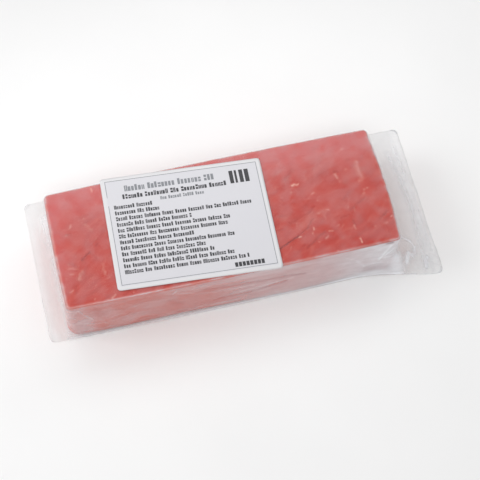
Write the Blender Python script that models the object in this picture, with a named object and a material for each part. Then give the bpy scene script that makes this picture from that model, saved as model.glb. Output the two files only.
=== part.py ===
"""A frozen block of tuna, sealed in a clear vacuum bag with a paper label on top.

Metres, +Z up. The bag lies on its flat underside. +X runs along the block towards the bag's
long flap, and -Y is the side whose top edge is nearest in the usual view.
"""
import math

import bmesh
import bpy
from mathutils import Matrix, Vector

MM = 0.001
CLEARANCE = 0.3 * MM          # left between pieces that touch

# The block of fish
BLOCK_LENGTH = 182.5 * MM
BLOCK_WIDTH = 72.0 * MM
BLOCK_HEIGHT = 31.2 * MM
BLOCK_SKEW = 0.030            # how far the ends lean along X for each unit of Y
BLOCK_TAPER = 0.009           # how much wider the right end is, and the left end narrower
FRONT_BELLY = 1.0 * MM        # the long sides bulge this far at their middle
BACK_BELLY = 0.8 * MM
END_BELLY = 1.4 * MM
TOP_CORNER = 2.2 * MM         # radius of the corners in plan, which are sharper at the top
BOTTOM_CORNER = 6.5 * MM
UPPER_ROUND = 1.4 * MM
LOWER_ROUND = 4.2 * MM
SIDE_WAVE = 0.45 * MM         # the sawn sides aren't quite flat
SIDE_WAVE_LENGTH = 17.0 * MM
LONG_SEGMENTS = 44            # round the outline: along a long side, an end and a corner
END_SEGMENTS = 18
CORNER_SEGMENTS = 5

# The bag round it
FILM = 0.4 * MM               # stands for the thin film, which no solid can be as thin as
LEFT_MARGIN = 11.0 * MM
RIGHT_MARGIN = 26.0 * MM
BACK_MARGIN = 16.0 * MM
FRONT_MARGIN = 1.4 * MM       # folded up against the front side
FLARE = 8.5 * MM              # the front margin opens out again at the flap
FLARE_START = 72.0 * MM
FLAP_CORNER = 3.0 * MM
FLAP_EDGE = 0.9 * MM          # the two films and their seal, lying on the table
TENT_HEIGHT = 13.0 * MM       # where the film leaves the block's sides
TENT_CURVE = 2.3
RIPPLE = 1.5 * MM
CREASE = 0.7 * MM             # long creases of the folded margin on the front side

# The paper label
LABEL_LENGTH = 88.6 * MM
LABEL_WIDTH = 70.3 * MM
LABEL_THICKNESS = 0.3 * MM
LABEL_CORNER = 1.8 * MM
LABEL_PLACE = (-17.5 * MM, -0.2 * MM)
LABEL_TURN = math.radians(-4.45)
WINDOW_INSET = 9.0 * MM       # the bag's hollow opens under the label, this far inside its edge

TABLE_TO_FISH = FILM + CLEARANCE


def clear_scene():
    for item in list(bpy.data.objects):
        bpy.data.objects.remove(item, do_unlink=True)


def smooth_step(value):
    value = min(max(value, 0.0), 1.0)
    return value * value * (3.0 - 2.0 * value)


def rounded_rectangle(low, high, radius):
    """Points round a rectangle with round corners, counter-clockwise from its lower left."""
    centres = ((low[0] + radius, low[1] + radius, 180), (high[0] - radius, low[1] + radius, 270),
               (high[0] - radius, high[1] - radius, 0), (low[0] + radius, high[1] - radius, 90))
    points = []
    for number, (x, y, start) in enumerate(centres):
        arc = []
        for step in range(CORNER_SEGMENTS + 1):
            angle = math.radians(start + 90.0 * step / CORNER_SEGMENTS)
            arc.append(Vector((x + radius * math.cos(angle), y + radius * math.sin(angle))))
        after_x, after_y, after_start = centres[(number + 1) % 4]
        angle = math.radians(after_start)
        following = Vector((after_x + radius * math.cos(angle), after_y + radius * math.sin(angle)))
        segments = LONG_SEGMENTS if number % 2 == 0 else END_SEGMENTS
        points += arc
        points += [arc[-1].lerp(following, step / segments) for step in range(1, segments)]
    return points


def block_outline(inset, height):
    """The block's outline, drawn in by inset. Its sides belly out and carry long shallow waves,
    which fade towards the top."""
    half = Vector((BLOCK_LENGTH / 2 - inset, BLOCK_WIDTH / 2 - inset))
    level = min(max(height / BLOCK_HEIGHT, 0.0), 1.0)
    corner = BOTTOM_CORNER + (TOP_CORNER - BOTTOM_CORNER) * level
    radius = max(corner - inset, 0.8 * MM)
    points = []
    for point in rounded_rectangle(-half, half, radius):
        along = point.x / half.x
        across = point.y / half.y
        wave = SIDE_WAVE * math.sin(point.x / SIDE_WAVE_LENGTH) * (1 - height / BLOCK_HEIGHT)
        bow = 1 - along * along
        if across < 0:
            point.y += across * (FRONT_BELLY * bow + wave)
        else:
            point.y += across * (BACK_BELLY * bow + wave * 0.6)
        point.y *= 1 + BLOCK_TAPER * along
        point.x += along * END_BELLY * (1 - across * across) * (1 if along > 0 else 0.4)
        point.x += BLOCK_SKEW * point.y
        points.append(point)
    return points


def block_profile(grow):
    """Inset and height of each outline from the underside's middle to the top's, grown outwards."""
    steps = [(22 * MM, -grow), (10 * MM, -grow)]
    for angle in (90, 60, 30, 0):
        turn = math.radians(angle)
        reach = LOWER_ROUND + grow
        steps.append((LOWER_ROUND - reach * math.cos(turn), LOWER_ROUND - reach * math.sin(turn)))
    for share in (0.3, 0.5, 0.7):
        span = BLOCK_HEIGHT - LOWER_ROUND - UPPER_ROUND
        steps.append((-grow, LOWER_ROUND + share * span))
    for angle in (0, 30, 60, 90):
        turn = math.radians(angle)
        reach = UPPER_ROUND + grow
        rise = BLOCK_HEIGHT - UPPER_ROUND + reach * math.sin(turn)
        steps.append((UPPER_ROUND - reach * math.cos(turn), rise))
    steps += [(10 * MM, BLOCK_HEIGHT + grow), (22 * MM, BLOCK_HEIGHT + grow)]
    return steps


def block_rings(grow):
    """Closed loops of points on the block's surface, each grown outwards by the same distance."""
    rings = []
    for inset, height in block_profile(grow):
        level = min(max(height, 0.0), BLOCK_HEIGHT)
        outline = block_outline(inset, level)
        rings.append([Vector((point.x, point.y, height + TABLE_TO_FISH)) for point in outline])
    return rings


def flap_outline():
    """The cut edge of the bag: a rectangle whose front edge opens out towards the long flap."""
    low = Vector((-BLOCK_LENGTH / 2 - LEFT_MARGIN, -BLOCK_WIDTH / 2 - FRONT_MARGIN - FRONT_BELLY))
    high = Vector((BLOCK_LENGTH / 2 + RIGHT_MARGIN, BLOCK_WIDTH / 2 + BACK_MARGIN))
    points = rounded_rectangle(low, high, FLAP_CORNER)
    for point in points:
        frontness = (high.y - point.y) / (high.y - low.y)
        opening = smooth_step((point.x - FLARE_START) / (high.x - FLARE_START))
        point.y -= FLARE * opening * frontness ** 2
        point.x += BLOCK_SKEW * point.y
    return points


def ripple(point, out):
    """How far the free film stands off the table, from its root (0) to its cut edge (1)."""
    fan = math.sin(point.x / (8 * MM) + 0.7 * math.sin(point.y / (11 * MM)))
    return RIPPLE * out * (0.5 + 0.5 * fan) * smooth_step(1.25 - abs(out - 0.5))


def crease(point):
    """The folded margin's ridges on the front side, long, low and slightly slanted."""
    front = smooth_step((-point.y - 0.46 * BLOCK_WIDTH) / (0.04 * BLOCK_WIDTH))
    below_edge = smooth_step((BLOCK_HEIGHT - point.z) / UPPER_ROUND)
    slant = point.z - 0.015 * point.x
    ridges = math.sin(slant / (2.6 * MM)) + 0.5 * math.sin(point.x / (9 * MM) + slant / (3.4 * MM))
    return CREASE * front * below_edge * (0.5 + ridges / 3.0)


def bag_rings():
    """The film's outer face: flat underside, free margins, tent up to the sides, sides and top."""
    grow = CLEARANCE + FILM
    upper = [ring for ring in block_rings(grow) if ring[0].z > TENT_HEIGHT]
    edge = flap_outline()
    rings = [[Vector((point.x, point.y, 0.0)) for point in block_outline(inset, 0.0)]
             for inset in (22 * MM, 10 * MM, 2 * MM)]
    rings.append([Vector((point.x, point.y, ripple(point, 1.0))) for point in edge])
    for share in (1.0, 0.8, 0.6, 0.42, 0.26, 0.12, 0.03):
        height = FLAP_EDGE + (TENT_HEIGHT - FLAP_EDGE) * (1 - share) ** TENT_CURVE
        ring = []
        for start, end in zip(block_outline(-grow, height - TABLE_TO_FISH), edge):
            place = start.lerp(end, share)
            ring.append(Vector((place.x, place.y, height + ripple(place, share))))
        rings.append(ring)
    rings += upper
    for ring in rings:
        for point in ring:
            point.y -= crease(point)
    return rings


def loft(name, rings):
    """Extrudes a face loop by loop, each with as many points, into one closed body."""
    mesh = bmesh.new()
    corners = [mesh.verts.new(point) for point in rings[0]]
    bottom = mesh.faces.new(list(reversed(corners)))
    edges = list(bottom.edges)
    current = corners
    for ring in rings[1:]:
        made = set(bmesh.ops.extrude_edge_only(mesh, edges=edges)["geom"])
        following = []
        for corner, point in zip(current, ring):
            neighbours = (edge.other_vert(corner) for edge in corner.link_edges)
            copy = next(other for other in neighbours if other in made)
            copy.co = point
            following.append(copy)
        edges = [item for item in made if isinstance(item, bmesh.types.BMEdge)
                 and all(corner in made for corner in item.verts)]
        current = following
    mesh.faces.new(current)
    bmesh.ops.recalc_face_normals(mesh, faces=mesh.faces)
    data = bpy.data.meshes.new(name)
    mesh.to_mesh(data)
    mesh.free()
    item = bpy.data.objects.new(name, data)
    bpy.context.scene.collection.objects.link(item)
    return item


def finish(item, colour, roughness):
    material = bpy.data.materials.new(item.name)
    material.use_nodes = True
    shader = material.node_tree.nodes["Principled BSDF"]
    shader.inputs["Base Color"].default_value = colour[:3] + (1.0,)
    shader.inputs["Alpha"].default_value = colour[3]
    shader.inputs["Roughness"].default_value = roughness
    shader.inputs["Metallic"].default_value = 0.0
    item.data.materials.append(material)
    item.data.shade_smooth()
    item.data.set_sharp_from_angle(angle=math.radians(40))


def hide_cutter(cutter):
    cutter.hide_render = True
    cutter.display_type = "WIRE"


def cut(item, cutter):
    step = item.modifiers.new("Cut by " + cutter.name, "BOOLEAN")
    step.operation = "DIFFERENCE"
    step.object = cutter
    hide_cutter(cutter)


def build_tuna_fillet():
    fillet = loft("tuna_fillet", block_rings(0.0))
    finish(fillet, (0.62, 0.13, 0.11, 1.0), 0.35)
    return fillet


def label_plate(name, inset, bottom, top):
    """A flat plate of the label's outline, drawn in by inset, at the label's place and turn."""
    half = Vector((LABEL_LENGTH / 2 - inset, LABEL_WIDTH / 2 - inset))
    outline = rounded_rectangle(-half, half, LABEL_CORNER)
    rings = [[Vector((point.x, point.y, height)) for point in outline] for height in (bottom, top)]
    plate = loft(name, rings)
    place = Matrix.Translation((LABEL_PLACE[0], LABEL_PLACE[1], 0.0))
    plate.data.transform(place @ Matrix.Rotation(LABEL_TURN, 4, "Z"))
    return plate


def build_vacuum_bag():
    """The bag is one closed skin: its hollow opens through a window that the label covers."""
    bag = loft("vacuum_bag", bag_rings())
    hollow = loft("hollow", block_rings(CLEARANCE))
    inside = TABLE_TO_FISH + BLOCK_HEIGHT - FILM
    outside = TABLE_TO_FISH + BLOCK_HEIGHT + CLEARANCE + 2 * FILM
    window = label_plate("window", WINDOW_INSET, inside, outside)
    cut(bag, hollow)
    cut(bag, window)
    finish(bag, (0.86, 0.87, 0.88, 0.35), 0.12)
    return bag


def build_label():
    bottom = TABLE_TO_FISH + BLOCK_HEIGHT + CLEARANCE + FILM + CLEARANCE
    label = label_plate("label", 0.0, bottom, bottom + LABEL_THICKNESS)
    finish(label, (0.80, 0.81, 0.84, 1.0), 0.55)
    return label


def stand_at_origin(measured, items):
    """Moves every item so that the measured one is centred over the origin."""
    xs = [corner.co.x for corner in measured.data.vertices]
    ys = [corner.co.y for corner in measured.data.vertices]
    shift = Matrix.Translation((-(min(xs) + max(xs)) / 2, -(min(ys) + max(ys)) / 2, 0.0))
    for item in items:
        item.data.transform(shift)


def main():
    clear_scene()
    build_tuna_fillet()
    bag = build_vacuum_bag()
    build_label()
    stand_at_origin(bag, list(bpy.data.objects))


main()
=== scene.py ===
"""The looks of a frozen tuna block in its clear vacuum bag, with a paper label on top.

Metres, +Z up. Each piece is shaped in the block's own frame, whose origin is under the block's
middle, and then moved to where the frame holds the block.
"""

import math
import random

import bmesh
import bpy
from mathutils import Matrix, Vector, noise
from mathutils.kdtree import KDTree


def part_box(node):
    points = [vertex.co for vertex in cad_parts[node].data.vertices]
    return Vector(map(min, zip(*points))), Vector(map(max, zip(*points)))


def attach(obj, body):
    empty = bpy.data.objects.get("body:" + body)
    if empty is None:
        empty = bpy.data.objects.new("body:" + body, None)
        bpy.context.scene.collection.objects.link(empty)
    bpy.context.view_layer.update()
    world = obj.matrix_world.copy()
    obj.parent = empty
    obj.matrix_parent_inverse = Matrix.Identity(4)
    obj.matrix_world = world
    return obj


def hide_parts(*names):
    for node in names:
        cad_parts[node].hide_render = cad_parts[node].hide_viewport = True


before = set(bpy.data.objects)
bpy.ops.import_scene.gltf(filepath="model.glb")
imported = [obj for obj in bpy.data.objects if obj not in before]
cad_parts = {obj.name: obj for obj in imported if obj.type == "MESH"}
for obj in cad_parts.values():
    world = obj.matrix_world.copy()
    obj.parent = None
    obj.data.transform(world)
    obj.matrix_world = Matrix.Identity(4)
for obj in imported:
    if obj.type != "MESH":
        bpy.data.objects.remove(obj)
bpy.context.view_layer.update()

MM = 0.001

# The block of fish, as the solids have it but for its lower edge, which is sharper here
BLOCK_LENGTH = 182.5 * MM
BLOCK_WIDTH = 72.0 * MM
BLOCK_HEIGHT = 31.2 * MM
BLOCK_SKEW = 0.030
BLOCK_TAPER = 0.009           # how much wider the right end is, and the left end narrower
FRONT_BELLY = 1.0 * MM
BACK_BELLY = 0.8 * MM
END_BELLY = 1.4 * MM
TOP_CORNER = 2.2 * MM         # radius of the corners in plan, which are sharper at the top
BOTTOM_CORNER = 6.5 * MM
SHARPEST_CORNER = 0.8 * MM
UPPER_ROUND = 1.4 * MM
LOWER_ROUND = 2.6 * MM
SIDE_WAVE = 0.45 * MM
SIDE_WAVE_LENGTH = 17.0 * MM
TABLE_TO_FISH = 0.7 * MM

# How far the shown flesh and film stand outside the block's nominal surface
FLESH_GROW = 0.2 * MM
FILM_GROW = 0.62 * MM
FLESH_STEP = 0.97 * MM        # spacing of the flesh's mesh, closer near its edges

# The bag
LEFT_MARGIN = 11.0 * MM
RIGHT_MARGIN = 26.0 * MM
BACK_MARGIN = 16.0 * MM
FRONT_MARGIN = 0.9 * MM
FLARE = 8.5 * MM
FLARE_START = 72.0 * MM
FLAP_CORNER = 3.0 * MM
FLAP_EDGE = 0.12 * MM         # between the two films where they are sealed together
TENT_HEIGHT = 13.0 * MM
TENT_CURVE = 2.3
RIPPLE = 0.8 * MM
SEAL_INSET = 5.5 * MM         # the heat seal's middle, from the cut edge
SEAL_WIDTH = 3.4 * MM

# The label, and the print on it
LABEL_LENGTH = 88.6 * MM
LABEL_WIDTH = 70.3 * MM
LABEL_CORNER = 1.8 * MM
LABEL_PLACE = Vector((-17.5 * MM, -0.2 * MM))
LABEL_TURN = math.radians(-4.45)
PAPER = 0.2 * MM
PAPER_LIFT = 0.08 * MM
BORDER_LENGTH = 83.7 * MM
BORDER_WIDTH = 65.2 * MM
BORDER_RISE = 0.35 * MM       # the border's middle lies this far above the label's
BORDER_LINE = 0.28 * MM
INK_RISE = 0.03 * MM
INK = 0.02 * MM
INK_STEP = 4.0 * MM            # long bars bend with the label at this spacing

# The camera, from the fit to the photograph, with distances from under the block's middle
VIEW_AZIMUTH = math.radians(-17.84)
VIEW_ELEVATION = math.radians(59.39)
VIEW_ROLL = math.radians(3.48)
VIEW_DISTANCE = 947.3 * MM
VIEW_AIM = Vector((11.69 * MM, 1.46 * MM, 0.0))
SENSOR = 36.0
PICTURE_WIDTH = 480.0         # the photograph's width and the fitted focal length, in pixels
FOCAL_PIXELS = 1700.0


# Where the block stands in the frame, worked out from the label, which is centred on its place

label_low, label_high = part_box("label")
SHIFT = (label_low + label_high) / 2 - LABEL_PLACE.to_3d()
SHIFT.z = 0.0


# Small helpers

def smooth_step(value):
    value = min(max(value, 0.0), 1.0)
    return value * value * (3.0 - 2.0 * value)


def ramp(value, start, end):
    """0 before start, 1 after end, smooth between."""
    return smooth_step((value - start) / (end - start))


def wobble(point, size, seed=0.0):
    """Smooth noise from -1 to 1, whose bumps are about as wide as size."""
    return noise.noise(Vector((point[0] / size + seed, point[1] / size - seed, point[2] / size)))


def rounded_rectangle(low, high, radius, segments):
    """Points round a rectangle with round corners, counter-clockwise from its lower left.
    segments are the numbers along a long side, along an end and round a corner."""
    along, across, turn = segments
    centres = ((low[0] + radius, low[1] + radius, 180), (high[0] - radius, low[1] + radius, 270),
               (high[0] - radius, high[1] - radius, 0), (low[0] + radius, high[1] - radius, 90))
    arcs = []
    for x, y, start in centres:
        angles = [math.radians(start + 90.0 * step / turn) for step in range(turn + 1)]
        arcs.append([Vector((x + radius * math.cos(a), y + radius * math.sin(a))) for a in angles])
    points = []
    for number, arc in enumerate(arcs):
        count = along if number % 2 == 0 else across
        following = arcs[(number + 1) % 4][0]
        points += arc + [arc[-1].lerp(following, step / count) for step in range(1, count)]
    return points


def add_piece(mesh, name, material, smooth=True):
    """Moves a finished bmesh to the frame and makes it an object that rides on the root body."""
    bmesh.ops.translate(mesh, vec=SHIFT, verts=mesh.verts)
    data = bpy.data.meshes.new(name)
    mesh.to_mesh(data)
    mesh.free()
    if smooth:
        data.shade_smooth()
    data.materials.append(material)
    piece = bpy.data.objects.new(name, data)
    bpy.context.scene.collection.objects.link(piece)
    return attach(piece, "root")


# The block's form

def bulge(point, height):
    """Moves a point of a straight brick to the real block: bellied sides, slanted ends."""
    along = min(max(point.x / (BLOCK_LENGTH / 2), -1.0), 1.0)
    across = point.y / (BLOCK_WIDTH / 2)
    level = min(max(height / BLOCK_HEIGHT, 0.0), 1.0)
    wave = SIDE_WAVE * math.sin(point.x / SIDE_WAVE_LENGTH) * (1 - level)
    bow = 1 - along * along
    if across < 0:
        point.y += across * (FRONT_BELLY * bow + wave)
    else:
        point.y += across * (BACK_BELLY * bow + wave * 0.6)
    point.y *= 1 + BLOCK_TAPER * along
    reach = 1 - min(across * across, 1.0)
    point.x += along * END_BELLY * reach * (1 if along > 0 else 0.4)
    point.x += BLOCK_SKEW * point.y
    return point


def corner_radius(height):
    level = min(max(height / BLOCK_HEIGHT, 0.0), 1.0)
    return BOTTOM_CORNER + (TOP_CORNER - BOTTOM_CORNER) * level


def block_outline(inset, height, segments):
    half = Vector((BLOCK_LENGTH / 2 - inset, BLOCK_WIDTH / 2 - inset))
    radius = max(corner_radius(height) - inset, SHARPEST_CORNER)
    return [bulge(point, height) for point in rounded_rectangle(-half, half, radius, segments)]


def round_brick(point):
    """Moves a point on a sharp brick's surface onto the brick with round corners and edges."""
    core = Vector((BLOCK_LENGTH / 2 + FLESH_GROW, BLOCK_WIDTH / 2 + FLESH_GROW))
    radius = corner_radius(point.z)
    over = Vector((abs(point.x) - core.x + radius, abs(point.y) - core.y + radius))
    if over.x > 0 and over.y > 0:
        over *= max(over) / over.length
        outward = over.normalized()
        inside = radius - over.length
    else:
        outward = Vector((1, 0)) if over.x > over.y else Vector((0, 1))
        inside = radius - max(over)
    plan = Vector((core.x - radius + over.x, core.y - radius + over.y))
    top = BLOCK_HEIGHT + FLESH_GROW
    for edge_round, level, sign in ((UPPER_ROUND, top, 1), (LOWER_ROUND, -FLESH_GROW, -1)):
        out = edge_round - inside
        rise = sign * (point.z - level) + edge_round
        if out > 0 and rise > 0:
            scale = max(out, rise) / math.hypot(out, rise)
            plan += outward * out * (scale - 1)
            point.z = level + sign * (rise * scale - edge_round)
    point.x = math.copysign(plan.x, point.x)
    point.y = math.copysign(plan.y, point.y)
    return inside


# The flesh

GRAIN_ANGLE = math.radians(33)

# Marks on the top, each a path in millimetres from the block's middle, a half width and a strength
FISSURES = (
    (((23, -27.5), (26, -26), (32, -23.5), (37.5, -21)), 0.42, 0.95),
    (((37.5, -21), (41, -19), (44, -17), (47.5, -13)), 0.40, 0.50),
    (((40.5, -29), (45.5, -26), (49, -23.5), (52, -22)), 0.80, 0.40),
    (((45, -9.5), (48, -7.5), (49.5, -6)), 0.50, 0.38),
    (((65.5, -5.5), (68.5, -3.5), (71, -1)), 0.60, 0.30),
    (((68.5, -12.5), (73, -9.5), (78, -7)), 0.55, 0.38),
    (((62, -16), (66.5, -15.5)), 0.70, 0.25),
    (((68.5, -19), (69, -22)), 0.60, 0.45),
    (((83, -21.5), (85, -20), (87.5, -18)), 1.00, 0.42),
    (((66, 13.5), (68, 12.5)), 0.50, 0.45),
    (((75, 19), (76, 18)), 0.60, 0.35),
    (((69.5, 4.5), (71.5, 6)), 1.30, 0.22),
    (((39, 14), (41.5, 16.5), (44, 19)), 1.50, 0.32),
    (((37, -12.5), (41, -11), (44.5, -9.5)), 0.50, 0.28),
    (((27.5, -15.5), (31, -15.5)), 0.70, 0.30),
    (((29.5, -7), (33, -7.5)), 0.70, 0.28),
    (((34, -12), (35, -13)), 0.50, 0.35),
    (((80.5, -37.5), (84.5, -37)), 0.80, 0.60),
    (((-77.5, -8.5), (-75.5, -6.5), (-73, -5)), 0.65, 0.60),
    (((-69, -1.5), (-67.5, -0.5)), 0.60, 0.38),
    (((-84.5, -9), (-81, -12)), 0.90, 0.30),
    (((-83.5, -23), (-84.5, -27.5)), 0.80, 0.25),
    (((-83.5, 8.5), (-81, 8.5)), 0.55, 0.35),
)
PALE_MARKS = (
    (((41, 10), (41.5, 9.5), (43, 10.5), (44, 9.5), (45, 10)), 0.36, 0.95),
    (((66, 11), (66.5, 9.5), (66.5, 8.5)), 0.75, 0.38),
    (((79.5, 16), (79, 11), (79.5, 6)), 1.25, 0.30),
    (((69.5, -30.5), (70, -33)), 0.42, 0.90),
    (((37.5, -22), (38.5, -22)), 0.50, 0.75),
    (((46.5, -18), (46.5, -19.5)), 0.34, 0.65),
    (((50.5, -10), (51.5, -10.5)), 0.38, 0.40),
    (((55.5, -9), (57, -9.5)), 0.38, 0.45),
    (((77.5, -4), (78.5, -4)), 0.40, 0.35),
    (((54, -22), (56, -22.5)), 0.45, 0.45),
    (((51.5, -26), (53, -25)), 0.55, 0.40),
    (((47, -27), (47.5, -27.5)), 0.40, 0.40),
    (((68, -22), (68.5, -24.5)), 0.45, 0.35),
    (((85, -25), (86, -24.5)), 0.45, 0.35),
    (((73.5, 26), (74.5, 26)), 0.50, 0.40),
    (((41.5, -15), (47.5, -11.5), (52.5, -9)), 3.00, 0.10),
    (((-81.5, -19.5), (-80.5, -17), (-79, -15.5)), 1.00, 0.28),
    (((-85.5, -16), (-84, -16)), 0.55, 0.32),
    (((-86, -12), (-81, -13.5)), 0.40, 0.25),
    (((-87.5, -26.5), (-86, -26)), 0.60, 0.35),
    (((-67.5, -13.5), (-68, -16.5), (-67.5, -20)), 0.60, 0.25),
    (((-67, -34.5), (-65, -33)), 0.50, 0.50),
    (((-65.5, 34), (-65.5, 31.5)), 0.50, 0.45),
    (((-72.5, 12.5), (-71, 10), (-69.5, 8.5)), 0.90, 0.20),
)
# The many smaller marks: how many, and the ranges of their half widths and strengths
SMALL_FISSURES = (130, (0.45, 1.10), (0.04, 0.17))
SMALL_PALE_MARKS = (90, (0.45, 1.00), (0.02, 0.09))
ACROSS_SHARE = 0.2            # of the small marks, how many run across the grain, and shorter
ACROSS_TURN = 1.4
ACROSS_LENGTH = 0.4
MARK_REACH = 2.6              # a mark has faded away at this many half widths
CRACK_DEPTH = 0.7 * MM
EDGE_CROWDING = 0.06


def small_marks(draw, count, half_widths, strengths):
    """Short strokes scattered over the top, most of them along the grain."""
    marks = []
    for _ in range(count):
        across_grain = draw.random() < ACROSS_SHARE
        angle = GRAIN_ANGLE + draw.gauss(0, 0.25) + (ACROSS_TURN if across_grain else 0.0)
        x, y = draw.uniform(-90, 90), draw.uniform(-33, 33)
        half = draw.uniform(0.8, 4.5) * (ACROSS_LENGTH if across_grain else 1.0)
        step = Vector((math.cos(angle), math.sin(angle))) * half
        bend = Vector((-step.y, step.x)) * draw.uniform(-0.25, 0.25)
        path = ((x - step.x, y - step.y), (x + bend.x, y + bend.y), (x + step.x, y + step.y))
        marks.append((path, draw.uniform(*half_widths), draw.uniform(*strengths)))
    return marks


def path_distance(place, path):
    """How far a place lies from a path given in millimetres."""
    nearest = 1.0
    for start, end in zip(path, path[1:]):
        start, end = Vector(start) * MM, Vector(end) * MM
        run = end - start
        share = min(max((place - start).dot(run) / run.length_squared, 0.0), 1.0)
        nearest = min(nearest, (place - start - run * share).length)
    return nearest


def near_mark(tree, path, reach):
    """Indices of the mesh's corners close to a path, with their distances from it."""
    ends = Vector(path[0]) * MM, Vector(path[-1]) * MM
    middle = (ends[0] + ends[1]) / 2
    radius = (ends[1] - ends[0]).length / 2 + reach + 1.5 * MM
    found = []
    for place, index, _ in tree.find_range((middle.x, middle.y, 0), radius):
        shake = Vector((wobble(place, 1.7 * MM, 6.6), wobble(place, 1.7 * MM, 16.1)))
        distance = path_distance(place.to_2d() + shake * 0.45 * MM, path)
        if distance < reach:
            found.append((index, distance))
    return found


def top_tree(mesh):
    """A search tree of the corners on the flat top."""
    mesh.verts.ensure_lookup_table()
    mesh.verts.index_update()
    tree = KDTree(len(mesh.verts))
    for corner in mesh.verts:
        if corner.co.z > BLOCK_HEIGHT - 0.2 * MM:
            tree.insert((corner.co.x, corner.co.y, 0), corner.index)
    tree.balance()
    return tree


def refine_marks(mesh, marks):
    """Splits the mesh finer under the marks."""
    tree = top_tree(mesh)
    chosen = set()
    for path, half_width, _ in marks:
        reach = MARK_REACH * half_width * MM + 0.3 * MM
        chosen.update(index for index, _ in near_mark(tree, path, reach))
    edges = [edge for edge in mesh.edges if all(corner.index in chosen for corner in edge.verts)]
    bmesh.ops.subdivide_edges(mesh, edges=edges, cuts=2, use_grid_fill=True, use_single_edge=True)


def stamp_marks(mesh, layer, marks):
    """Writes each mark's strength on the corners below it, fading away from its path."""
    tree = top_tree(mesh)
    for path, half_width, strength in marks:
        for index, distance in near_mark(tree, path, MARK_REACH * half_width * MM):
            corner = mesh.verts[index]
            share = distance / (half_width * MM)
            patchy = 0.8 + 0.4 * wobble(corner.co, 2.4 * MM, 4.4)
            corner[layer] = max(corner[layer], strength * patchy * math.exp(-share * share))


def along_grain(point):
    """The point turned so that its x runs along the grain, and drawn together along it."""
    turned = Matrix.Rotation(-GRAIN_ANGLE, 3, "Z") @ point
    return Vector((turned.x / 5, turned.y, turned.z))


def flesh_relief(point, normal):
    """How far the flesh stands out at a point: slow swells, fibre ridges, pits, and saw marks."""
    swell = 0.14 * MM * wobble(point, 16 * MM, 3.1) + 0.06 * MM * wobble(point, 6 * MM, 8.4)
    fibre = 0.05 * MM * wobble(along_grain(point), 2.2 * MM, 1.7)
    pit = -0.12 * MM * ramp(wobble(point, 3.4 * MM, 5.5), 0.42, 0.75)
    layered = Vector((point.x / 9, point.y / 9, point.z))
    saw = 0.11 * MM * wobble(layered, 1.8 * MM, 2.2)
    return swell + (fibre + pit) * abs(normal.z) + saw * (1 - abs(normal.z))


def cut_through(mesh, axis, count):
    """Loop cuts across every edge that runs along one axis."""
    edges = []
    for edge in mesh.edges:
        run = edge.verts[1].co - edge.verts[0].co
        if abs(run[axis]) > 0.9 * run.length:
            edges.append(edge)
    bmesh.ops.subdivide_edges(mesh, edges=edges, cuts=count, use_grid_fill=True)


def crowd_to_edges(value, half):
    """Draws evenly spaced cuts closer together near the ends of their run."""
    share = value / half
    return half * share * (1 + EDGE_CROWDING - EDGE_CROWDING * share ** 8)


def brick(step):
    """A cube scaled to the block and cut into small faces, finest near its edges."""
    mesh = bmesh.new()
    bmesh.ops.create_cube(mesh, size=1.0)
    size = Vector((BLOCK_LENGTH, BLOCK_WIDTH, BLOCK_HEIGHT)) + Vector((1, 1, 1)) * 2 * FLESH_GROW
    bmesh.ops.scale(mesh, vec=size, verts=mesh.verts)
    for axis in range(3):
        cut_through(mesh, axis, int(size[axis] / step))
    for corner in mesh.verts:
        corner.co = Vector(crowd_to_edges(corner.co[axis], size[axis] / 2) for axis in range(3))
    bmesh.ops.translate(mesh, vec=(0, 0, BLOCK_HEIGHT / 2), verts=mesh.verts)
    return mesh


def painted_sheen_share(point):
    """How much painted sheen pales the flesh, standing in for light reflected off the top: most along
    the back, some along the left end.
    """
    ragged = 3.5 * MM * wobble(point, 14 * MM, 9.2) + 1.2 * MM * wobble(point, 4 * MM, 3.9)
    back = ramp(point.y + ragged, BLOCK_WIDTH / 2 - 25 * MM, BLOCK_WIDTH / 2 - 1 * MM)
    left = ramp(-point.x + 0.5 * ragged, BLOCK_LENGTH / 2 - 12 * MM, BLOCK_LENGTH / 2)
    return min(back + 0.7 * left * ramp(point.y, -34 * MM, -8 * MM), 1.0)


def make_flesh(material):
    draw = random.Random(5)
    dark_marks = list(FISSURES) + small_marks(draw, *SMALL_FISSURES)
    light_marks = list(PALE_MARKS) + small_marks(draw, *SMALL_PALE_MARKS)
    mesh = brick(FLESH_STEP)
    refine_marks(mesh, dark_marks + light_marks)
    rim = mesh.verts.layers.float.new("rim")
    painted_sheen = mesh.verts.layers.float.new("painted_sheen")
    level = mesh.verts.layers.float.new("level")
    crack = mesh.verts.layers.float.new("crack")
    pale = mesh.verts.layers.float.new("pale")
    stamp_marks(mesh, crack, dark_marks)
    stamp_marks(mesh, pale, light_marks)
    for corner in mesh.verts:
        inside = round_brick(corner.co)
        ragged = inside + 0.5 * MM * wobble(corner.co, 3 * MM, 0.4)
        corner[rim] = 1 - ramp(ragged, 0.4 * MM, 1.8 * MM)
        corner[painted_sheen] = painted_sheen_share(corner.co)
        corner.co = bulge(corner.co, corner.co.z)
    mesh.normal_update()
    for corner in mesh.verts:
        corner[level] = 0.25 + 0.75 * abs(corner.normal.z)
        push = flesh_relief(corner.co, corner.normal) - CRACK_DEPTH * corner[crack]
        corner.co += corner.normal * push
    bmesh.ops.translate(mesh, vec=(0, 0, TABLE_TO_FISH), verts=mesh.verts)
    flesh = add_piece(mesh, "tuna_flesh", material)
    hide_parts("tuna_fillet")


# The film

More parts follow.
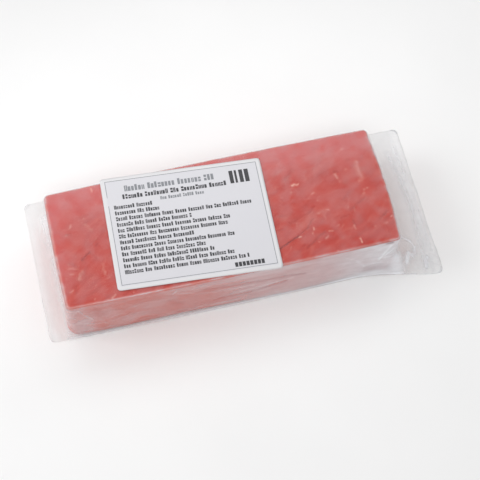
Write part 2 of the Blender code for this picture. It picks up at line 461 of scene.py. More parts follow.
FILM_SEGMENTS = (300, 120, 10)
TENT_RINGS = 32
TENT_CROWDING = 1.15          # draws the tent's rings together towards the block
SIDE_RINGS = 24
ROUND_RINGS = 8
TOP_RINGS = 15
FILM_LIFT = 0.02 * MM         # the film's lowest points stand this far off the table
UNDERSIDE_INSETS = (32, 22, 12, 2)
MARGIN_SHARES = (0.1, 0.25, 0.4, 0.55, 0.7, 0.85, 1.0)
UNDERSIDE_HAZE = 0.03
CUT_EDGE_HAZE = 0.6

# Folds of the loose film at the right, as paths of (x, y) in millimetres, with half widths and
# heights. The near-white haze along them is painted glints.
CORNER_FOLDS_AND_GLINTS = (
    (((95.5, -21.5), (99, -22.5), (102.5, -24.5), (104, -28), (103, -31.5), (100, -34)), 0.8, 1.1),
    (((98.5, -32.5), (97, -35), (96, -37.5)), 1.1, 1.4),
    (((109.5, -34.5), (108, -37.5), (107, -40.5)), 0.8, 1.2),
    (((108.5, 36), (110.5, 15), (111, -3), (109, -20), (107, -36)), 1.6, 0.32),
    (((113.5, 40), (114.5, 16), (114.5, -8), (113, -30)), 1.0, 0.25),
)
# Creases pressed on the front side, as paths of (x, height) in millimetres, with half widths and
# heights. Below 0 they are grooves.
SIDE_CREASES = (
    (((-87, 28.5), (-83, 22), (-80, 17.5)), 0.5, 0.6),
    (((-84, 13.5), (-79, 12), (-72.5, 11)), 0.5, 0.6),
    (((-75.5, 15.5), (-70, 6)), 0.5, 0.4),
    (((-62, 20), (-53, 23.5), (-42, 23.5)), 0.5, 0.4),
    (((-36, 27), (-34.5, 28.5)), 0.5, 1.2),
    (((-33.5, 26), (-29, 24.5), (-25.5, 23.5)), 0.5, 0.9),
    (((-39, 1.5), (-29.5, 4), (-20.5, 6.5), (-9, 5.5), (1, 6)), 0.8, 0.55),
    (((1, 14), (15, 15.5), (30, 17)), 0.6, 0.75),
    (((-23.5, 20.5), (-8, 19), (8, 18)), 0.9, 0.45),
    (((60, 24), (66, 19), (71, 11)), 0.8, 0.35),
    (((71, 11), (77.5, 11.5), (84.5, 10)), 0.5, 0.4),
    (((79.5, 14), (81.5, 19.5), (85, 27.5)), 0.8, 0.7),
    (((82.5, 17), (86.5, 23)), 0.5, 0.8),
    (((-13, 10), (-4, 11), (5.5, 11), (15, 12.5), (26.5, 15)), 1.0, -0.6),
    (((-19, 23.5), (-4.5, 22), (14.5, 20.5), (27.5, 20), (36.5, 18.5)), 1.2, -0.5),
    (((-33.5, 5.5), (-24.5, 4)), 1.0, -0.5),
    (((-37.5, 19), (-32, 14)), 2.2, -0.5),
    (((-77, 26.5), (-75.5, 21)), 2.2, -0.5),
    (((-86, 5), (-58.5, 3), (-34, 3)), 1.1, -0.4),
    (((72, 7.5), (77.5, 7.5), (84, 6)), 2.4, -0.32),
    (((82.5, 30), (85.5, 30)), 0.8, -0.8),
)
# How much milkier the front side gets, and from where to where along it, in millimetres
FRONT_HAZE = 0.15
FRONT_MILK = ((0.14, -72, -90), (0.24, -25, 20), (0.32, 38, 82))


def flap_outline():
    """The cut edge of the bag, which is folded in close along the front side of the block."""
    low = Vector((-BLOCK_LENGTH / 2 - LEFT_MARGIN, -BLOCK_WIDTH / 2 - FRONT_MARGIN))
    high = Vector((BLOCK_LENGTH / 2 + RIGHT_MARGIN, BLOCK_WIDTH / 2 + BACK_MARGIN))
    points = rounded_rectangle(low, high, FLAP_CORNER, FILM_SEGMENTS)
    for point in points:
        frontness = (high.y - point.y) / (high.y - low.y)
        along = min(max(point.x / (BLOCK_LENGTH / 2), -1.0), 1.0)
        opening = smooth_step((point.x - FLARE_START) / (high.x - FLARE_START))
        point.y -= FLARE * opening * frontness ** 2
        point.y -= FRONT_BELLY * (1 - along * along) * frontness ** 8
        point.x += BLOCK_SKEW * point.y
    return points


def facets(point, size, width=0.3, seed=0.0):
    """1 along the folds of crumpled film, 0 inside its flat patches, which are size across."""
    place = Vector((point.x / size + seed, point.y / size, point.z / size + seed))
    near = noise.voronoi(place)[0]
    return 1 - min((near[1] - near[0]) / width, 1.0)


def crease_strength(place, creases):
    """The creases near a place added up, each fading away from its path. Grooves count below 0."""
    total = 0.0
    shake = 0.35 * MM * wobble(place.to_3d(), 3 * MM, 5.1)
    for path, half_width, strength in creases:
        reach = 3 * half_width * MM
        if not path[0][0] * MM - 12 * MM < place.x < path[-1][0] * MM + 12 * MM:
            continue
        distance = path_distance(place, path)
        if distance < reach:
            share = (distance + shake) / (half_width * MM)
            total += strength * math.exp(-share * share)
    return total


def margin_lift(x, y, out):
    """How far the free film stands off the table, from its root (0) to its cut edge (1)."""
    fan = math.sin(x / (10 * MM) + 0.7 * math.sin(y / (13 * MM)))
    return RIPPLE * out * (0.5 + 0.5 * fan) * smooth_step(1.25 - abs(out - 0.5))


def film_rings():
    """Rings of points from the underside's middle, out to the cut edge and up over the top."""
    edge = flap_outline()
    rings = [[point.to_3d() for point in block_outline(inset * MM, 0.0, FILM_SEGMENTS)]
             for inset in UNDERSIDE_INSETS]
    root = block_outline(0.0, 0.0, FILM_SEGMENTS)
    for share in MARGIN_SHARES:
        ring = []
        for start, end in zip(root, edge):
            place = start.lerp(end, share)
            lift = margin_lift(place.x, place.y, share) * ramp(share, 0.1, 0.8)
            ring.append(Vector((place.x, place.y, lift + FILM_LIFT)))
        rings.append(ring)
    for step in range(TENT_RINGS):
        share = (1 - step / TENT_RINGS) ** TENT_CROWDING
        height = FLAP_EDGE + (TENT_HEIGHT - FLAP_EDGE) * (1 - share) ** TENT_CURVE
        outline = block_outline(-FILM_GROW, height - TABLE_TO_FISH, FILM_SEGMENTS)
        ring = []
        for start, end in zip(outline, edge):
            place = start.lerp(end, share)
            ring.append(Vector((place.x, place.y, height + margin_lift(place.x, place.y, share))))
        rings.append(ring)
    low, high = TENT_HEIGHT - TABLE_TO_FISH, BLOCK_HEIGHT - UPPER_ROUND
    for step in range(SIDE_RINGS):
        height = low + (high - low) * step / SIDE_RINGS
        outline = block_outline(-FILM_GROW, height, FILM_SEGMENTS)
        rings.append([Vector((point.x, point.y, height + TABLE_TO_FISH)) for point in outline])
    reach = UPPER_ROUND + FILM_GROW
    for step in range(ROUND_RINGS):
        turn = math.radians(90 * step / (ROUND_RINGS - 1))
        outline = block_outline(UPPER_ROUND - reach * math.cos(turn), BLOCK_HEIGHT, FILM_SEGMENTS)
        height = high + reach * math.sin(turn) + TABLE_TO_FISH
        rings.append([Vector((point.x, point.y, height)) for point in outline])
    top = BLOCK_HEIGHT + FILM_GROW + TABLE_TO_FISH
    for step in range(1, TOP_RINGS + 1):
        inset = UPPER_ROUND + (BLOCK_WIDTH / 2 - 1.0 * MM - UPPER_ROUND) * step / TOP_RINGS
        outline = block_outline(inset, BLOCK_HEIGHT, FILM_SEGMENTS)
        rings.append([Vector((point.x, point.y, top)) for point in outline])
    return rings


def loft(mesh, rings):
    """Extrudes a face ring by ring, each with as many points, into one closed body."""
    current = [mesh.verts.new(point) for point in rings[0]]
    bottom = mesh.faces.new(list(reversed(current)))
    edges = list(bottom.edges)
    for ring in rings[1:]:
        made = set(bmesh.ops.extrude_edge_only(mesh, edges=edges)["geom"])
        following = []
        for corner, point in zip(current, ring):
            neighbours = (edge.other_vert(corner) for edge in corner.link_edges)
            copy = next(other for other in neighbours if other in made)
            copy.co = point
            following.append(copy)
        edges = [item for item in made if isinstance(item, bmesh.types.BMEdge)
                 and all(corner in made for corner in item.verts)]
        current = following
    mesh.faces.new(current)
    bmesh.ops.recalc_face_normals(mesh, faces=mesh.faces)


def margin_look(point, beyond):
    """(push, haze) of the loose film round the block, with painted glints: near-white haze along the
    corner folds.
    """
    out = ramp(beyond, 0, 6 * MM)
    crumple = facets(point, 13 * MM, 0.25, 2.0)
    fold = crease_strength(Vector((point.x, point.y)), CORNER_FOLDS_AND_GLINTS)
    corner_zone = ramp(point.x, 86 * MM, 96 * MM) * ramp(-point.y, 15 * MM, 28 * MM)
    fine = facets(point, 4 * MM, 0.3, 7.0) * corner_zone
    slow = wobble(point, 12 * MM, 4)
    push = out * (0.18 * MM * crumple + 0.35 * MM * slow) + 0.18 * MM * fine + 0.45 * MM * fold
    right_edge = BLOCK_LENGTH / 2 + RIGHT_MARGIN + BLOCK_SKEW * point.y
    seal = 1 - min(abs(right_edge - SEAL_INSET - point.x) / (SEAL_WIDTH / 2), 1.0)
    # Painted glints: 0.70 * fold whitens the film along the corner folds.
    haze = 0.02 + 0.03 * out * crumple + 0.05 * fine + 0.70 * fold + 0.05 * ramp(seal, 0, 0.3)
    haze += 0.05 * ramp(point.x, BLOCK_LENGTH / 2 + 9 * MM, BLOCK_LENGTH / 2 + 20 * MM)
    push *= 1 - 0.6 * ramp(-point.x, BLOCK_LENGTH / 2 - 3 * MM, BLOCK_LENGTH / 2)
    return push, haze


def front_look(point):
    """(push, haze) of the film on the front side: milky, with long folds and small crumples."""
    x, z = point.x, point.z - TABLE_TO_FISH
    stretched = Vector((x / 7, 0, z + 0.10 * x))
    streak = wobble(stretched, 3.0 * MM, 3.3)
    slow = wobble(Vector((x / 2.5, 0, z)), 6 * MM, 6.1)
    middle = ramp(x, -55 * MM, -30 * MM) * (1 - ramp(x, 35 * MM, 60 * MM))
    left = 1 - ramp(x, -62 * MM, -38 * MM)
    crumple = facets(point, 7 * MM, 0.16, 1.0) * (0.35 + 0.65 * left) * (1 - middle)
    crease = crease_strength(Vector((x, z)), SIDE_CREASES)
    haze = FRONT_HAZE
    for amount, start, end in FRONT_MILK:
        haze += amount * ramp(x, start * MM, end * MM)
    fold = ramp(x, -48 * MM, -34 * MM) * (1 - ramp(x, 15 * MM, 45 * MM))
    haze += 0.12 * fold * ramp(z, 24.5 * MM, 27.5 * MM)
    # Painted light: the film is whitened along the foot, lifting the contact shadow seen through it,
    # besides the folded film's own milkiness.
    haze += 0.45 * (1 - ramp(z, 0.0 * MM, 2.5 * MM))
    patch = ramp(wobble(Vector((x / 1.5, 0, z)), 7.5 * MM, 21.0), -0.35, 0.35) - 0.5
    haze += (0.01 + 0.03 * middle) * streak + 0.03 * slow + 0.05 * crumple
    haze += patch * (0.04 + 0.10 * (1 - ramp(x, -50 * MM, -20 * MM)))
    haze += 0.22 * max(crease, 0.0) - 0.02 * min(crease, 0.0)
    push = 0.08 * MM * streak + 0.16 * MM * slow + 0.18 * MM * crumple + 0.40 * MM * crease
    return push, haze


def wrinkle(point, size, width, seed):
    """1 along winding lines about size apart, and 0 away from them."""
    return 1 - min(abs(wobble(point, size, seed)) / width, 1.0)


def end_look(point):
    """(push, haze) of the film on the back side and the two ends: milky, with long soft creases."""
    lean = 0.5 * point.z
    flat = Vector(((point.x + lean) / 2.6, (point.y - lean) / 2.6, point.z))
    slow = wobble(flat, 7 * MM, 14.0)
    some = ramp(wobble(flat, 12 * MM, 9.0), -0.15, 0.35)
    crease = some * wrinkle(flat, 8 * MM, 0.07, 4.0)
    left = ramp(-point.x, BLOCK_LENGTH / 2 - 5 * MM, BLOCK_LENGTH / 2 - 1 * MM)
    foot = 1 - ramp(point.z - TABLE_TO_FISH, 0.0, 3 * MM)
    haze = 0.22 + 0.16 * left + 0.10 * slow + 0.13 * crease + 0.2 * foot
    return 0.15 * MM * slow + 0.22 * MM * crease, haze


def top_look(point, normal):
    """(push, haze) of the film pressed on the top, clearer in the middle than near its edges. The haze
    rising towards the back is painted sheen, and the broken pale line along the rounded top edge is a
    painted highlight.
    """
    # Painted sheen: milkier film towards the back, where the top catches more reflected light.
    back = ramp(point.y, 2 * MM, 38 * MM)
    cloud = wobble(point, 14 * MM, 2.7)
    haze = 0.008 + 0.055 * back * (1 + 0.5 * cloud)
    # Painted highlight: a broken pale line on the film over the rounded top edge, stronger at the
    # right end.
    edge = 1 - min(abs(normal.z - 0.80) / 0.24, 1.0)
    edge *= 1 + 0.8 * ramp(point.x, BLOCK_LENGTH / 2 - 3 * MM, BLOCK_LENGTH / 2)
    broken = ramp(wobble(point, 5 * MM, 8.8), -0.5, 0.4)
    haze += edge * (0.08 + 0.36 * broken)
    return 0.04 * MM * wobble(point, 9 * MM, 3), haze


def film_look(point, normal):
    """(how far the film is pushed out, how hazy it is) at a point of the film."""
    half_length, half_width = BLOCK_LENGTH / 2, BLOCK_WIDTH / 2
    side = max(abs(point.x) - half_length, point.y - half_width)
    if normal.z > 0.55 and point.z > TENT_HEIGHT:
        return top_look(point, normal)
    front = ramp(-point.y, half_width - 3.5 * MM, half_width - 0.5 * MM)
    front *= 1 - ramp(point.x, half_length - 1 * MM, half_length + 5 * MM)
    front *= 1 - ramp(-point.x, half_length, half_length + 4 * MM)
    near = 1 - ramp(side, 0.8 * MM, 4.5 * MM)
    loose, on_end, on_front = margin_look(point, side - 1.5 * MM), end_look(point), front_look(point)
    calm = ramp(BLOCK_HEIGHT + TABLE_TO_FISH - point.z, 0.5 * MM, 3 * MM)
    push, haze = (a + (b - a) * near for a, b in zip(loose, on_end))
    push, haze = (a + (b - a) * front for a, b in zip((push, haze), on_front))
    return push * calm, haze


def make_film(material):
    mesh = bmesh.new()
    loft(mesh, film_rings())
    mesh.normal_update()
    haze = mesh.verts.layers.float.new("haze")
    painted_crease_shade = mesh.verts.layers.float.new("painted_crease_shade")
    for corner in mesh.verts:
        under = corner.normal.z < -0.5
        # Painted shade: the front side's grooves darken the film's milky colour.
        if corner.co.y < 6 * MM - BLOCK_WIDTH / 2 and abs(corner.normal.z) < 0.5:
            place = Vector((corner.co.x, corner.co.z - TABLE_TO_FISH))
            corner[painted_crease_shade] = min(max(-crease_strength(place, SIDE_CREASES), 0.0), 1.0)
        push, clouded = film_look(corner.co, corner.normal)
        if corner.co.z < 0.8 * MM and abs(corner.normal.z) < 0.7:
            clouded = CUT_EDGE_HAZE
        corner[haze] = UNDERSIDE_HAZE if under else min(max(clouded, 0.0), 1.0)
        if under:
            corner.co.z += max(push, 0.0) * 0.6 * ramp(corner.co.z, 0.05 * MM, 0.6 * MM)
        else:
            corner.co += corner.normal * push
        corner.co.z = max(corner.co.z, FILM_LIFT)
    film = add_piece(mesh, "vacuum_film", material)
    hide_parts("vacuum_bag")


# The label and its print

def label_surface(place, lift):
    """A point above the film, from its place in the label's own plane."""
    turned = Matrix.Rotation(LABEL_TURN, 2) @ Vector(place) + LABEL_PLACE
    film_top = TABLE_TO_FISH + BLOCK_HEIGHT + FILM_GROW + PAPER_LIFT
    past = abs(turned.y) - (BLOCK_WIDTH / 2 - UPPER_ROUND)
    drop = 0.05 * past * past / UPPER_ROUND if past > 0 else 0.0
    wave = 0.05 * MM * wobble(Vector((turned.x, turned.y, 0)), 22 * MM, 12)
    return Vector((turned.x, turned.y, film_top + lift - drop + wave))


def thicken(mesh, amount):
    """Gives flat upward faces a thickness, upwards."""
    bmesh.ops.recalc_face_normals(mesh, faces=mesh.faces)
    for face in mesh.faces:
        if face.normal.z < 0:
            face.normal_flip()
    bmesh.ops.solidify(mesh, geom=mesh.faces[:], thickness=-amount)
    bmesh.ops.recalc_face_normals(mesh, faces=mesh.faces)


def make_label(material):
    mesh = bmesh.new()
    bmesh.ops.create_grid(mesh, x_segments=88, y_segments=70, size=0.5)
    uv = mesh.loops.layers.uv.new("UVMap")
    for face in mesh.faces:
        for loop in face.loops:
            loop[uv].uv = (loop.vert.co.x + 0.5, loop.vert.co.y + 0.5)
    half = Vector((LABEL_LENGTH / 2, LABEL_WIDTH / 2))
    core = half - Vector((LABEL_CORNER, LABEL_CORNER))
    for corner in mesh.verts:
        x, y = corner.co.x * LABEL_LENGTH, corner.co.y * LABEL_WIDTH
        over = Vector((abs(x) - core.x, abs(y) - core.y))
        if over.x > 0 and over.y > 0:
            over *= max(over) / over.length
            x, y = math.copysign(core.x + over.x, x), math.copysign(core.y + over.y, y)
        corner.co = label_surface((x, y), 0.0)
    thicken(mesh, PAPER)
    label = add_piece(mesh, "label_paper", material)
    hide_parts("label")


def ink_bar(mesh, left, top, width, height):
    """One flat bar of ink, given by its upper left corner within the border, in metres."""
    cuts = max(1, int(width / INK_STEP))
    made = bmesh.ops.create_grid(mesh, x_segments=cuts, y_segments=1, size=0.5)
    x = left + width / 2 - BORDER_LENGTH / 2
    y = BORDER_RISE + BORDER_WIDTH / 2 - top - height / 2
    for corner in made["verts"]:
        place = (x + corner.co.x * width, y + corner.co.y * height)
        corner.co = label_surface(place, PAPER + INK_RISE)


def ink_glyph(mesh, draw, left, base, width, height):
    """One sign of stand-in print: a plain block, two stacked bars or two upright bars."""
    kind = draw.choice(("block", "block", "stacked", "upright"))
    if kind == "block":
        ink_bar(mesh, left, base - height, width * 0.9, height)
    elif kind == "stacked":
        ink_bar(mesh, left, base - height, width, height * 0.40)
        ink_bar(mesh, left, base - height * 0.42, width, height * 0.42)
    else:
        ink_bar(mesh, left, base - height, width * 0.42, height)
        ink_bar(mesh, left + width * 0.58, base - height, width * 0.42, height)


def ink_line(mesh, draw, start, end, base, height, pitch):
    """A line of stand-in print in word-long groups, given as the lines above are."""
    height, pitch = height * MM, pitch * MM
    left, stop = start * BORDER_LENGTH, end * BORDER_LENGTH
    while left < stop - pitch:
        for sign in range(draw.randint(3, 9)):
            if left > stop - pitch:
                break
            tall = height * (1.3 if sign == 0 or draw.random() < 0.15 else 1.0)
            ink_glyph(mesh, draw, left, base * BORDER_WIDTH, pitch * draw.uniform(0.72, 0.88), tall)
            left += pitch
        left += pitch * 0.7


# Lines of stand-in print: where each starts and ends and its base, as shares of the border, and then
# the signs' height and pitch in millimetres
TITLE_LINE = (0.12, 0.72, 0.118, 2.9, 1.9)
BOLD_LINE = (0.10, 0.79, 0.190, 2.25, 1.6)
SMALL_LINE = (0.34, 0.64, 0.243, 1.6, 1.2)
BODY_START = 0.035
BODY_FIRST = 0.281
BODY_PITCH = 0.0565
BODY_SIGNS = (1.9, 1.25)
BODY_ENDS = (0.29, 0.33, 0.93, 0.535, 0.77, 0.755, 0.535, 0.776, 0.60, 0.63, 0.75, 0.85)
# Upright bars in the upper right corner: each one's left side as a share of the border, and its width
UPRIGHT_BARS = ((0.8100, 2.1), (0.8451, 1.2), (0.8750, 2.1), (0.9101, 2.3))
UPRIGHT_TOP = 0.058
UPRIGHT_HEIGHT = 8.1 * MM
# The row of bars in the lower right corner
ROW_BARS = 8
ROW_START = 0.73
ROW_LENGTH = 0.195
ROW_TOP = 0.938
ROW_BAR = (1.6 * MM, 2.7 * MM)


def add_print(mesh, name, material):
    thicken(mesh, INK)
    piece = add_piece(mesh, name, material, smooth=False)


def make_print(dark, grey):
    draw = random.Random(11)
    heading = bmesh.new()
    ink_line(heading, draw, *TITLE_LINE)
    ink_line(heading, draw, *SMALL_LINE)
    add_print(heading, "label_print_heading", grey)
    body = bmesh.new()
    ink_line(body, draw, *BOLD_LINE)
    for number, end in enumerate(BODY_ENDS):
        base = BODY_FIRST + BODY_PITCH * number
        ink_line(body, draw, BODY_START, end, base, *BODY_SIGNS)
    add_print(body, "label_print_lines", dark)
    bold = bmesh.new()
    for left, width in UPRIGHT_BARS:
        ink_bar(bold, left * BORDER_LENGTH, UPRIGHT_TOP * BORDER_WIDTH, width * MM, UPRIGHT_HEIGHT)
    for number in range(ROW_BARS):
        left = (ROW_START + ROW_LENGTH * number / ROW_BARS) * BORDER_LENGTH
        ink_bar(bold, left, ROW_TOP * BORDER_WIDTH, *ROW_BAR)
    add_print(bold, "label_print_blocks", dark)
    edge = bmesh.new()
    ink_bar(edge, 0, 0, BORDER_LENGTH, BORDER_LINE)
    ink_bar(edge, 0, BORDER_WIDTH - BORDER_LINE, BORDER_LENGTH, BORDER_LINE)
    inner = BORDER_WIDTH - 2 * BORDER_LINE
    ink_bar(edge, 0, BORDER_LINE, BORDER_LINE, inner)
    ink_bar(edge, BORDER_LENGTH - BORDER_LINE, BORDER_LINE, BORDER_LINE, inner)
    add_print(edge, "label_border", grey)


# Materials

def new_material(name):
    material = bpy.data.materials.new(name)
    material.use_nodes = True
    nodes = material.node_tree.nodes
    return material, nodes, material.node_tree.links, nodes["Principled BSDF"]


def object_noise(nodes, links, stretch, size, detail=3.0, turn=0.0):
    """Noise on the piece's own coordinates, turned and then drawn out by stretch. size is in
    bumps per metre."""
    place = nodes.new("ShaderNodeTexCoord")
    mapping = nodes.new("ShaderNodeMapping")
    mapping.vector_type = "TEXTURE"
    mapping.inputs["Rotation"].default_value = (0, 0, turn)
    mapping.inputs["Scale"].default_value = stretch
    texture = nodes.new("ShaderNodeTexNoise")
    texture.inputs["Scale"].default_value = size
    texture.inputs["Detail"].default_value = detail
    links.new(place.outputs["Object"], mapping.inputs["Vector"])
    links.new(mapping.outputs["Vector"], texture.inputs["Vector"])
    return texture.outputs["Fac"]


def spread(nodes, links, value, low, high, out_low=0.0, out_high=1.0):
    """Maps a value's range to another, held at its ends."""
    node = nodes.new("ShaderNodeMapRange")
    node.inputs["From Min"].default_value = low
    node.inputs["From Max"].default_value = high
    node.inputs["To Min"].default_value = out_low
    node.inputs["To Max"].default_value = out_high
    links.new(value, node.inputs["Value"])
    return node.outputs["Result"]


def combine(nodes, links, operation, first, second):
    node = nodes.new("ShaderNodeMath")
    node.operation = operation
    node.use_clamp = True
    for socket, value in zip(node.inputs, (first, second)):
        if isinstance(value, (int, float)):
            socket.default_value = value
        else:
            links.new(value, socket)
    return node.outputs[0]


def tint(nodes, links, share, below, above):
    """Mixes two colours, or a colour output and a colour, by a share."""
    node = nodes.new("ShaderNodeMix")
    node.data_type = "RGBA"
    links.new(share, node.inputs["Factor"])
    for socket, value in zip((node.inputs["A"], node.inputs["B"]), (below, above)):
        if isinstance(value, tuple):
            socket.default_value = value + (1.0,)
        else:
            links.new(value, socket)
    return node.outputs["Result"]


def attribute(nodes, name):
    node = nodes.new("ShaderNodeAttribute")
    node.attribute_name = name
    return node.outputs["Fac"]


FLESH_DEEP = (0.50, 0.032, 0.019)
FLESH_LIGHT = (0.545, 0.062, 0.043)
# The colour that the painted sheen pales the flesh to
FLESH_PAINTED_SHEEN = (0.60, 0.072, 0.068)
FLESH_RIM = (0.72, 0.30, 0.25)
# The painted shade in the cracks, also used for the dark fibre streaks
FLESH_CRACK_SHADE_AND_DARK_GRAIN = (0.27, 0.025, 0.022)
FLESH_PALE = (0.82, 0.46, 0.37)
PAINTED_SHEEN_SHARE = 0.75            # the most that the painted sheen and the paler rim along the rounded edges pale the flesh
RIM_SHARE = 0.45


def flesh_material():
    material, nodes, links, shader = new_material("tuna_flesh")
    mottle = object_noise(nodes, links, (2, 1, 1), 110, 4.0, GRAIN_ANGLE)
    fibre = object_noise(nodes, links, (4.5, 1, 1), 420, 2.0, GRAIN_ANGLE)
    fleck = object_noise(nodes, links, (1.6, 1, 1), 480, 1.0, GRAIN_ANGLE + 0.5)
    cloud = object_noise(nodes, links, (1, 1, 1), 210, 2.0)
    colour = tint(nodes, links, spread(nodes, links, mottle, 0.27, 0.73), FLESH_DEEP, FLESH_LIGHT)
    streak = spread(nodes, links, fibre, 0.50, 0.78, 0.0, 0.12)
    level = attribute(nodes, "level")
    colour = tint(nodes, links, combine(nodes, links, "MULTIPLY", streak, level), colour, FLESH_RIM)
    dark = spread(nodes, links, fibre, 0.24, 0.46, 0.26, 0.0)
    colour = tint(nodes, links, combine(nodes, links, "MULTIPLY", dark, level), colour, FLESH_CRACK_SHADE_AND_DARK_GRAIN)
    colour = tint(nodes, links, spread(nodes, links, fleck, 0.68, 0.80, 0.0, 0.30), colour, FLESH_PALE)
    # Painted sheen: paler flesh towards the back and the left end, standing in for light reflected off
    # the top.
    painted_sheen = combine(nodes, links, "MULTIPLY", attribute(nodes, "painted_sheen"), PAINTED_SHEEN_SHARE)
    colour = tint(nodes, links, painted_sheen, colour, FLESH_PAINTED_SHEEN)
    rim = combine(nodes, links, "MULTIPLY", attribute(nodes, "rim"), RIM_SHARE)
    colour = tint(nodes, links, rim, colour, FLESH_RIM)
    # Painted shade: the cracks' dark red stands for the shade inside them, over the recess that
    # CRACK_DEPTH cuts.
    colour = tint(nodes, links, attribute(nodes, "crack"), colour, FLESH_CRACK_SHADE_AND_DARK_GRAIN)
    colour = tint(nodes, links, attribute(nodes, "pale"), colour, FLESH_PALE)
    links.new(colour, shader.inputs["Base Color"])
    links.new(spread(nodes, links, cloud, 0.3, 0.7, 0.34, 0.52), shader.inputs["Roughness"])
    shader.inputs["Specular IOR Level"].default_value = 0.2
    bump = nodes.new("ShaderNodeBump")
    bump.inputs["Strength"].default_value = 0.20
    bump.inputs["Distance"].default_value = 0.0004
    links.new(fibre, bump.inputs["Height"])
    links.new(bump.outputs["Normal"], shader.inputs["Normal"])
    return material


FILM_WHITE = (0.85, 0.86, 0.90)
FILM_PAINTED_SHADE = (0.34, 0.22, 0.24)
FILM_CLEAR = (0.976, 0.976, 0.976)
FILM_MIRROR = (0.02, 0.7)     # how much gloss there is face on and at a grazing angle


def film_material():
    """Clear film: it shows what is behind it, with gloss on top and milky haze where it creases."""
    material, nodes, links, shader = new_material("clear_film")
    grain = object_noise(nodes, links, (3, 1, 1), 260, 3.0)
    haze = combine(nodes, links, "MULTIPLY", attribute(nodes, "haze"),
                   spread(nodes, links, grain, 0.3, 0.7, 0.88, 1.12))
    # Painted shade darkens the milky colour in the front side's grooves.
    milk = tint(nodes, links, attribute(nodes, "painted_crease_shade"), FILM_WHITE, FILM_PAINTED_SHADE)
    links.new(milk, shader.inputs["Base Color"])
    shader.inputs["Roughness"].default_value = 0.3
    clear = nodes.new("ShaderNodeBsdfTransparent")
    clear.inputs["Color"].default_value = FILM_CLEAR + (1.0,)
    milky = nodes.new("ShaderNodeMixShader")
    links.new(haze, milky.inputs[0])
    links.new(clear.outputs[0], milky.inputs[1])
    links.new(shader.outputs[0], milky.inputs[2])
    gloss = nodes.new("ShaderNodeBsdfGlossy")
    gloss.inputs["Roughness"].default_value = 0.22
    gloss.inputs["Color"].default_value = (1, 1, 1, 1)
    facing = nodes.new("ShaderNodeLayerWeight")
    facing.inputs["Blend"].default_value = 0.5
    steep = combine(nodes, links, "POWER", facing.outputs["Facing"], 4.0)
    mirror = spread(nodes, links, steep, 0.0, 1.0, *FILM_MIRROR)
    coated = nodes.new("ShaderNodeMixShader")
    links.new(mirror, coated.inputs[0])
    links.new(milky.outputs[0], coated.inputs[1])
    links.new(gloss.outputs[0], coated.inputs[2])
    output = nodes["Material Output"]
    links.new(coated.outputs[0], output.inputs["Surface"])
    return material


PAPER_FIELD = (0.66, 0.655, 0.69)
PAPER_MARGIN = (0.71, 0.705, 0.72)
PAPER_WORN = (0.60, 0.60, 0.64)
INK_DARK = ((0.035, 0.035, 0.04), (0.09, 0.09, 0.10))
INK_GREY = ((0.22, 0.23, 0.25), (0.32, 0.33, 0.35))
FLOOR_TONES = ((0.90, 0.90, 0.90), (0.93, 0.93, 0.93))


def paper_material():
    material, nodes, links, shader = new_material("label_paper")
    fibres = object_noise(nodes, links, (1, 1, 1), 900, 4.0)
    cloud = object_noise(nodes, links, (1, 1, 1), 60, 2.0)
    place = nodes.new("ShaderNodeUVMap")
    split = nodes.new("ShaderNodeSeparateXYZ")
    links.new(place.outputs["UV"], split.inputs[0])
    near = []
    for axis, length, inner in ((0, LABEL_LENGTH, BORDER_LENGTH), (1, LABEL_WIDTH, BORDER_WIDTH)):
        centred = combine(nodes, links, "SUBTRACT", split.outputs[axis], 0.5)
        other = combine(nodes, links, "SUBTRACT", 0.5, split.outputs[axis])
        distance = combine(nodes, links, "MAXIMUM", centred, other)
        near.append(spread(nodes, links, distance, inner / length / 2, inner / length / 2 + 0.004))
    margin = combine(nodes, links, "MAXIMUM", near[0], near[1])
    colour = tint(nodes, links, margin, PAPER_FIELD, PAPER_MARGIN)
    worn = spread(nodes, links, cloud, 0.3, 0.7, 0.0, 0.10)
    colour = tint(nodes, links, worn, colour, PAPER_WORN)
    links.new(colour, shader.inputs["Base Color"])
    links.new(spread(nodes, links, fibres, 0.3, 0.7, 0.42, 0.55), shader.inputs["Roughness"])
    bump = nodes.new("ShaderNodeBump")
    bump.inputs["Strength"].default_value = 0.12
    bump.inputs["Distance"].default_value = 0.0001
    links.new(fibres, bump.inputs["Height"])
    links.new(bump.outputs["Normal"], shader.inputs["Normal"])
    return material


def ink_material(name, colour, faded):
    material, nodes, links, shader = new_material(name)
    speckle = object_noise(nodes, links, (1, 1, 1), 1400, 2.0)
    colour = tint(nodes, links, spread(nodes, links, speckle, 0.35, 0.75, 0.0, 0.4), colour, faded)
    links.new(colour, shader.inputs["Base Color"])
    shader.inputs["Roughness"].default_value = 0.5
    return material


def floor_material():
    material, nodes, links, shader = new_material("pale_floor")
    cloud = object_noise(nodes, links, (1, 1, 1), 9, 3.0)
    share = spread(nodes, links, cloud, 0.3, 0.7)
    links.new(tint(nodes, links, share, *FLOOR_TONES), shader.inputs["Base Color"])
    shader.inputs["Roughness"].default_value = 0.7
    return material


# Floor, light and camera

# Each light's place, its two sides, and its power in watts
LIGHTS = {
    "strip_light": ((-0.02, 0.13, 0.20), (0.50, 0.10), 0.20),
    "window_light": ((-1.05, 0.20, 0.75), (0.5, 0.4), 4.0),
    "front_light": ((-0.25, -0.75, 1.15), (0.8, 0.5), 5.4),
}
LIGHT_AIM = SHIFT + Vector((0, 0, 0.02))
STUDIO_LIGHT = 0.54
FLOOR_SIZE = 1.5
FLOOR_DROP = 0.02 * MM


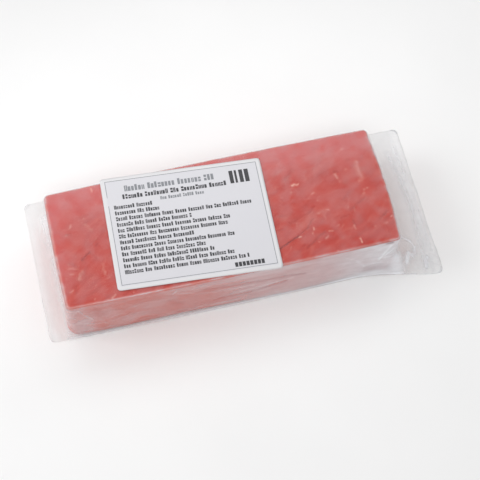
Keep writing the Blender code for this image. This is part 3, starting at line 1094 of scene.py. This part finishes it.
def make_floor():
    mesh = bmesh.new()
    bmesh.ops.create_grid(mesh, x_segments=1, y_segments=1, size=FLOOR_SIZE)
    bmesh.ops.translate(mesh, vec=(0, 0, -FLOOR_DROP), verts=mesh.verts)
    data = bpy.data.meshes.new("floor")
    mesh.to_mesh(data)
    mesh.free()
    data.materials.append(floor_material())
    floor = bpy.data.objects.new("floor", data)
    bpy.context.scene.collection.objects.link(floor)


def add_light(name, place, size, power):
    light = bpy.data.lights.new(name, "AREA")
    light.shape = "RECTANGLE"
    light.size, light.size_y = size
    light.energy = power
    lamp = bpy.data.objects.new(name, light)
    lamp.location = place
    lamp.rotation_euler = (LIGHT_AIM - Vector(place)).to_track_quat("-Z", "Y").to_euler()
    bpy.context.scene.collection.objects.link(lamp)


def make_lights():
    for name, (place, size, power) in LIGHTS.items():
        add_light(name, place, size, power)
    world = bpy.data.worlds.new("studio")
    world.use_nodes = True
    background = world.node_tree.nodes["Background"]
    background.inputs["Color"].default_value = (1.0, 1.0, 1.0, 1.0)
    background.inputs["Strength"].default_value = STUDIO_LIGHT
    bpy.context.scene.world = world


def make_camera():
    level = math.cos(VIEW_ELEVATION)
    back = Vector((math.sin(VIEW_AZIMUTH) * level, -math.cos(VIEW_AZIMUTH) * level,
                   math.sin(VIEW_ELEVATION)))
    right = Vector((math.cos(VIEW_AZIMUTH), math.sin(VIEW_AZIMUTH), 0))
    up = back.cross(right)
    turn, lean = math.cos(VIEW_ROLL), math.sin(VIEW_ROLL)
    axes = (right * turn + up * lean, up * turn - right * lean, back)
    place = Matrix(axes).transposed().to_4x4()
    place.translation = SHIFT + VIEW_AIM + back * VIEW_DISTANCE
    lens = bpy.data.cameras.new("camera")
    lens.sensor_width = SENSOR
    lens.lens = SENSOR * FOCAL_PIXELS / PICTURE_WIDTH
    camera = bpy.data.objects.new("camera", lens)
    camera.matrix_world = place
    bpy.context.scene.collection.objects.link(camera)
    bpy.context.scene.camera = camera


def main():
    bpy.context.scene.view_settings.view_transform = "Standard"
    make_camera()
    make_floor()
    make_lights()
    make_flesh(flesh_material())
    make_film(film_material())
    make_label(paper_material())
    make_print(ink_material("print_dark", *INK_DARK), ink_material("print_grey", *INK_GREY))


main()
